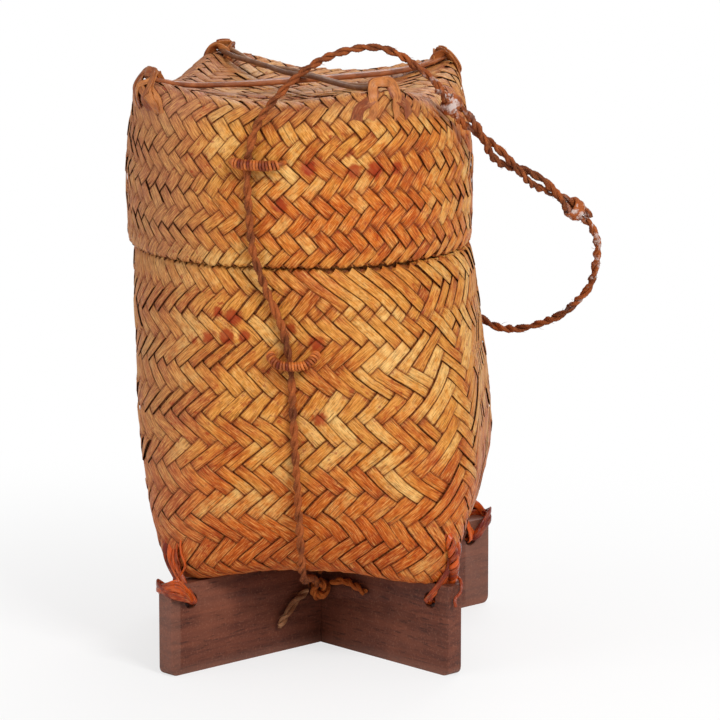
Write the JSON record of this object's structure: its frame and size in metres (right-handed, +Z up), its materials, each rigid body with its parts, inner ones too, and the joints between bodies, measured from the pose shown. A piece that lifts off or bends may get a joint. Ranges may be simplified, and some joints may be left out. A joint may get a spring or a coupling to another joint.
{
  "type": "sticky rice basket",
  "caption": "Tall double-walled plaited cane basket with a lift-off lid, a crossed-plank wooden foot and a carrying cord, for steamed sticky rice.",
  "frame": {"origin": "on the floor, at the crossing of the two foot planks", "axes": "+Z up the basket, -Y the side that faces the viewer with the cord's front rings, +X to the viewer's right, where the cord's loop hangs; the foot planks run at 45 degrees to X and Y"},
  "size_m": [0.198, 0.1604, 0.2593],
  "materials": {
    "foot_wood": "bare dark wood, worn edges",
    "outer_weave": "satin plaited cane strips, tan with orange and brown stains",
    "inner_weave": "matt plaited cane strips, pale",
    "lid_weave": "satin plaited cane strips, tan to orange",
    "lid_lining": "matt plaited cane strips, pale",
    "cane": "satin split cane",
    "dark_cane": "satin thin cane",
    "lashing_cane": "satin split cane, red brown",
    "twine": "two-ply twisted cord, rust brown"
  },
  "bodies": {
    "basket": {"foot_plank_lower": "foot_wood", "foot_plank_upper": "foot_wood", "body_outer_basket": "outer_weave", "body_inner_basket": "inner_weave", "carry_cord_front": "twine", "carry_cord_back": "twine", "cord_knot": "twine", "cord_tail_right": "twine", "cord_tail_left": "twine", "lashing_front_left": "lashing_cane", "lashing_front_right": "lashing_cane", "lashing_back_right": "lashing_cane", "lashing_back_left": "lashing_cane", "body_ring_front": "dark_cane", "body_ring_front_winding": "cane", "body_ring_back": "dark_cane", "body_ring_back_winding": "cane"},
    "lid": {"lid_outer_basket": "lid_weave", "lid_inner_basket": "lid_lining", "lid_stay_thick": "cane", "lid_stay_thin_left": "dark_cane", "lid_stay_thin_right": "dark_cane", "lid_ear_front_left": "cane", "lid_ear_front_right": "cane", "lid_ear_back_right": "cane", "lid_ear_back_left": "cane", "lid_ring_front": "dark_cane", "lid_ring_front_winding": "cane", "lid_ring_back": "dark_cane", "lid_ring_back_winding": "cane", "splice_binding_upper": "twine", "splice_binding_lower": "twine"}
  },
  "joints": [
    {"name": "lid_lift", "type": "slide", "parent": "basket", "child": "lid", "axis": [0, 0, 1], "range_m": [0, 0.1], "deforming": ["carry_cord_front", "carry_cord_back"]}
  ]
}
